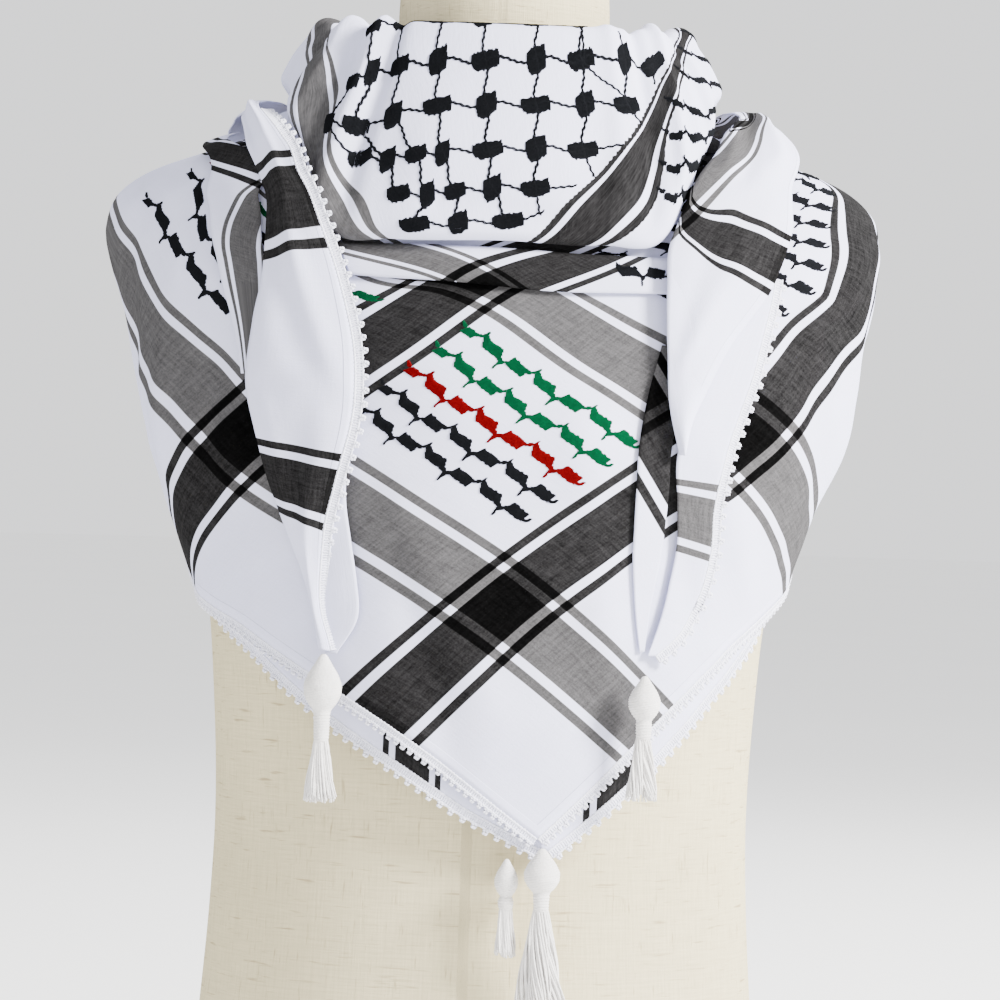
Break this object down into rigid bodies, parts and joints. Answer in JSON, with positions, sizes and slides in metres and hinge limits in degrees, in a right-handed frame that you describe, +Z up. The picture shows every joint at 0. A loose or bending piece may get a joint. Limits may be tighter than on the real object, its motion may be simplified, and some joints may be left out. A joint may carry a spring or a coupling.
{
  "type": "keffiyeh headscarf on a dress form",
  "caption": "Square cotton keffiyeh folded to a triangle and worn round the neck and shoulders of a limbless dress form, with lace hems and corner tassels.",
  "frame": {"origin": "middle of the dress form's flat base, where it stands", "axes": "+Z up along the dress form, -Y towards the front of the chest, +X to the right as seen from the front"},
  "size_m": [0.46, 0.2505, 0.722],
  "materials": {
    "cotton": "plain-woven white cotton with charcoal and grey woven bands",
    "embroidery": "dense matt embroidery thread in black, red and green",
    "lace": "white crocheted cotton edging with small loops",
    "tassel": "off-white twisted cotton thread, wound and hanging",
    "linen": "natural cream linen with slubs, stretched over the form"
  },
  "bodies": {
    "root": {"dress_form": "linen", "front_drape": "cotton", "under_layer": "cotton", "tuck_fold": "cotton", "shoulder_fold": "cotton", "left_tail": "cotton", "left_tail_under": "cotton", "right_tail": "cotton", "right_tail_border": "cotton", "right_tail_under": "cotton", "neck_roll_front": "cotton", "neck_roll_back": "cotton", "lace_drape_left": "lace", "lace_drape_right": "lace", "lace_under_left": "lace", "lace_under_right": "lace", "lace_left_tail": "lace", "lace_right_tail": "lace", "tassel_left": "tassel", "tassel_right": "tassel", "tassel_front": "tassel", "tassel_rear": "tassel"}
  },
  "joints": []
}
